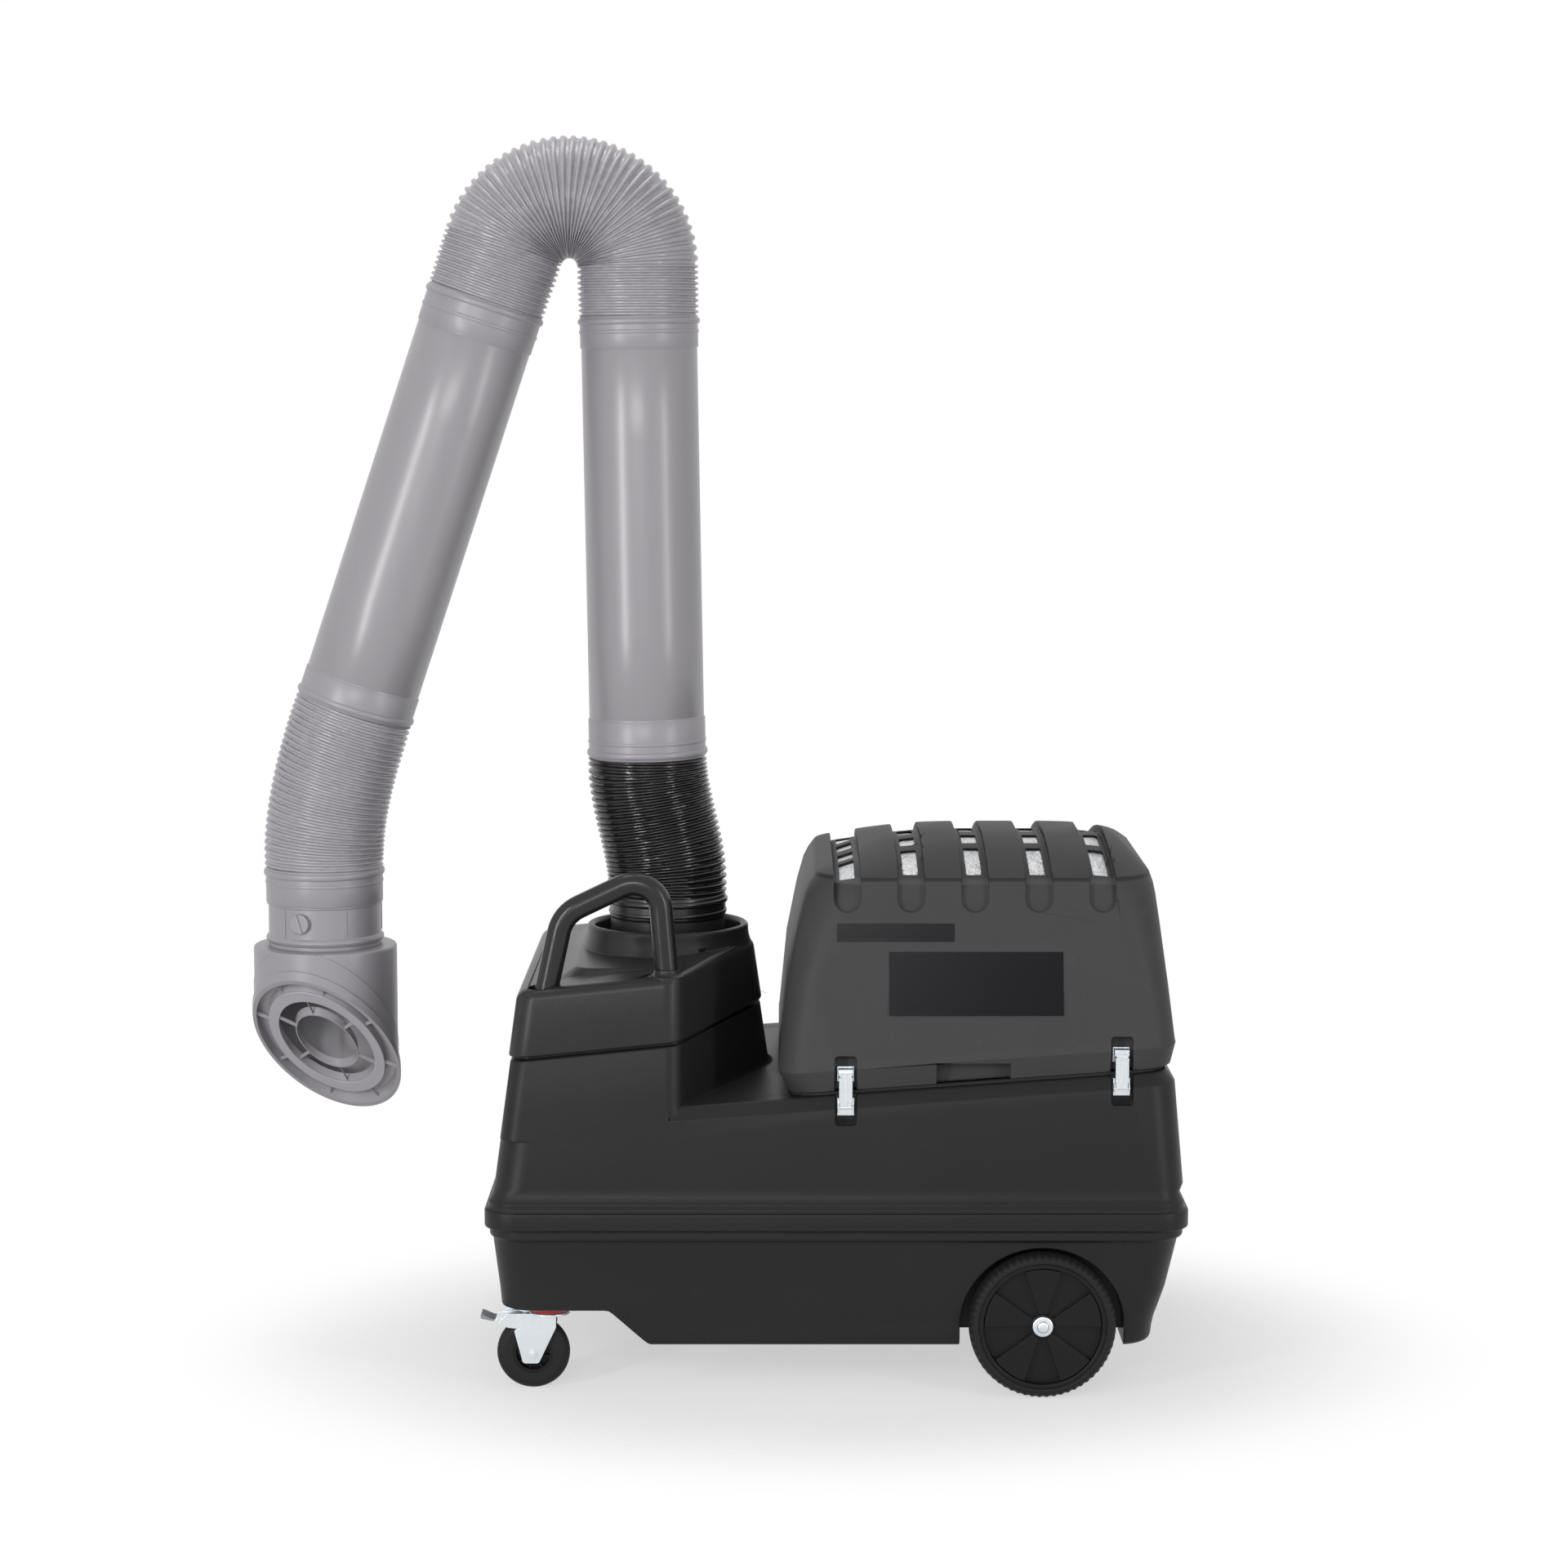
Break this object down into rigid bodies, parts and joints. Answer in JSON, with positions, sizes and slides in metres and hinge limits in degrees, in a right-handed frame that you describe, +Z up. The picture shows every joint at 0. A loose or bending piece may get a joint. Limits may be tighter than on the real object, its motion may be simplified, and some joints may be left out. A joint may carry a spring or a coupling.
{
  "type": "mobile welding fume extractor",
  "caption": "Wheeled fume extractor: moulded black cabinet with a hinged, vented filter hood, push handle, castors and big rear wheels, and a jointed hose-and-tube arm with a suction nozzle.",
  "frame": {"origin": "on the floor, under the middle of the overall box at rest", "axes": "+Z up, +X along the cabinet towards the big wheels, -Y towards the side with the push handle and the latches"},
  "size_m": [1.637, 0.814, 2.1414],
  "materials": {
    "shell": "matte",
    "hood_plastic": "matte",
    "cap_plastic": "satin",
    "black_rubber": "matte",
    "tyre_rubber": "matte",
    "wheel_plastic": "satin",
    "hose_black": "gloss",
    "hose_grey": "satin",
    "arm_grey": "satin",
    "arm_plastic": "satin",
    "zinc": "satin",
    "bar": "satin",
    "filter_media": "matte",
    "mesh": "satin",
    "fan_metal": "satin",
    "button_green": "gloss",
    "lamp_red": "gloss"
  },
  "bodies": {
    "cabinet": {"tub": "shell", "upper_shell": "shell", "pedestal_cap": "cap_plastic", "push_handle": "cap_plastic", "hood_seal": "black_rubber", "filter_cassette": "filter_media", "hinge_rod_left": "zinc", "hinge_rod_right": "zinc", "latch_left_base": "zinc", "latch_right_base": "zinc", "axle": "zinc", "near_castor_plate": "zinc", "far_castor_plate": "zinc", "fan_motor": "fan_metal", "fan_scroll": "fan_metal", "control_panel": "hood_plastic", "mains_inlet": "wheel_plastic", "status_lamp": "lamp_red", "inlet_duct": "shell"},
    "hood": {"filter_hood": "hood_plastic", "vent_mesh": "mesh", "latch_left_catch": "zinc", "latch_right_catch": "zinc"},
    "latch_left": {"latch_left_lever": "zinc"},
    "latch_right": {"latch_right_lever": "zinc"},
    "arm_base": {"turntable": "cap_plastic", "base_cuff": "hose_black", "shoulder_bar": "bar", "base_hose": "hose_black"},
    "inner_arm": {"inner_low_cuff": "hose_grey", "inner_tube": "arm_grey", "inner_top_cuff": "hose_grey", "inner_bar": "bar", "elbow_hose": "hose_grey"},
    "outer_arm": {"outer_top_cuff": "hose_grey", "outer_tube": "arm_grey", "outer_low_cuff": "hose_grey", "outer_bar": "bar", "wrist_hose": "hose_grey"},
    "wrist": {"wrist_cuff": "hose_grey", "wrist_bar": "bar"},
    "nozzle": {"nozzle_neck": "arm_plastic", "nozzle_shell": "arm_plastic", "mouth_guard": "arm_plastic"},
    "damper_blade": {"damper": "arm_plastic"},
    "near_wheel": {"near_wheel_tyre": "tyre_rubber", "near_wheel_hub": "wheel_plastic"},
    "far_wheel": {"far_wheel_tyre": "tyre_rubber", "far_wheel_hub": "wheel_plastic"},
    "near_swivel": {"near_castor_fork": "zinc"},
    "far_swivel": {"far_castor_fork": "zinc"},
    "near_castor_wheel": {"near_castor_tyre": "tyre_rubber", "near_castor_hub": "wheel_plastic"},
    "far_castor_wheel": {"far_castor_tyre": "tyre_rubber", "far_castor_hub": "wheel_plastic"},
    "near_brake": {"near_castor_pedal": "zinc"},
    "far_brake": {"far_castor_pedal": "zinc"},
    "fan_rotor": {"fan_impeller": "fan_metal"},
    "rocker": {"power_rocker": "wheel_plastic"},
    "button": {"start_button": "button_green"}
  },
  "joints": [
    {"name": "turntable", "type": "hinge", "parent": "cabinet", "child": "arm_base", "pos_m": [-0.0765, 0, 0.745], "axis": [0, 0, 1], "range_deg": [-110, 110]},
    {"name": "shoulder", "type": "hinge", "parent": "arm_base", "child": "inner_arm", "pos_m": [-0.0945, 0, 0.93], "axis": [0, 1, 0], "range_deg": [-12, 35], "deforming": ["base_hose"]},
    {"name": "elbow", "type": "hinge", "parent": "inner_arm", "child": "outer_arm", "pos_m": [-0.2445, 0, 1.963], "axis": [0, -1, 0], "range_deg": [-75, 3], "deforming": ["elbow_hose"]},
    {"name": "wrist", "type": "hinge", "parent": "outer_arm", "child": "wrist", "pos_m": [-0.6875, 0, 0.96762], "axis": [0, 1, 0], "range_deg": [-20, 50], "deforming": ["wrist_hose"]},
    {"name": "nozzle_turn", "type": "hinge", "parent": "wrist", "child": "nozzle", "pos_m": [-0.6875, 0, 0.809], "axis": [0, 0, 1], "continuous": true},
    {"name": "damper_turn", "type": "hinge", "parent": "nozzle", "child": "damper_blade", "pos_m": [-0.6875, 0, 0.768], "axis": [-0.309, -0.9511, 0], "range_deg": [0, 90]},
    {"name": "hood_hinge", "type": "hinge", "parent": "cabinet", "child": "hood", "pos_m": [0.4595, 0.391, 0.54344], "axis": [-0.9974, 0, -0.0718], "range_deg": [0, 85]},
    {"name": "latch_left_lever", "type": "hinge", "parent": "cabinet", "child": "latch_left", "pos_m": [0.2351, -0.3635, 0.49528], "axis": [1, 0, 0], "range_deg": [0, 130]},
    {"name": "latch_right_lever", "type": "hinge", "parent": "cabinet", "child": "latch_right", "pos_m": [0.7025, -0.3635, 0.52894], "axis": [1, 0, 0], "range_deg": [0, 130]},
    {"name": "near_wheel_roll", "type": "hinge", "parent": "cabinet", "child": "near_wheel", "pos_m": [0.5695, -0.38, 0.125], "axis": [0, 1, 0], "continuous": true},
    {"name": "far_wheel_roll", "type": "hinge", "parent": "cabinet", "child": "far_wheel", "pos_m": [0.5695, 0.38, 0.125], "axis": [0, 1, 0], "continuous": true},
    {"name": "near_swivel_turn", "type": "hinge", "parent": "cabinet", "child": "near_swivel", "pos_m": [-0.2715, -0.322, 0.13], "axis": [0, 0, 1], "continuous": true},
    {"name": "near_castor_roll", "type": "hinge", "parent": "near_swivel", "child": "near_castor_wheel", "pos_m": [-0.2995, -0.322, 0.0625], "axis": [0, 1, 0], "continuous": true},
    {"name": "near_brake_pedal", "type": "hinge", "parent": "near_swivel", "child": "near_brake", "pos_m": [-0.3135, -0.322, 0.1275], "axis": [0, 1, 0], "range_deg": [-10, 0]},
    {"name": "far_swivel_turn", "type": "hinge", "parent": "cabinet", "child": "far_swivel", "pos_m": [-0.2715, 0.322, 0.13], "axis": [0, 0, 1], "continuous": true},
    {"name": "far_castor_roll", "type": "hinge", "parent": "far_swivel", "child": "far_castor_wheel", "pos_m": [-0.2995, 0.322, 0.0625], "axis": [0, 1, 0], "continuous": true},
    {"name": "far_brake_pedal", "type": "hinge", "parent": "far_swivel", "child": "far_brake", "pos_m": [-0.3135, 0.322, 0.1275], "axis": [0, 1, 0], "range_deg": [-10, 0]},
    {"name": "fan_spin", "type": "hinge", "parent": "cabinet", "child": "fan_rotor", "pos_m": [0.2535, 0, 0.29], "axis": [0, 0, 1], "continuous": true},
    {"name": "rocker_switch", "type": "hinge", "parent": "cabinet", "child": "rocker", "pos_m": [-0.2653, 0.38196, 0.45525], "axis": [0, -0.1103, 0.9939], "range_deg": [0, 11]},
    {"name": "start_press", "type": "slide", "parent": "cabinet", "child": "button", "axis": [0, -0.9939, -0.1103], "range_m": [0, 0.0025], "stiffness_N_per_m": 300}
  ]
}
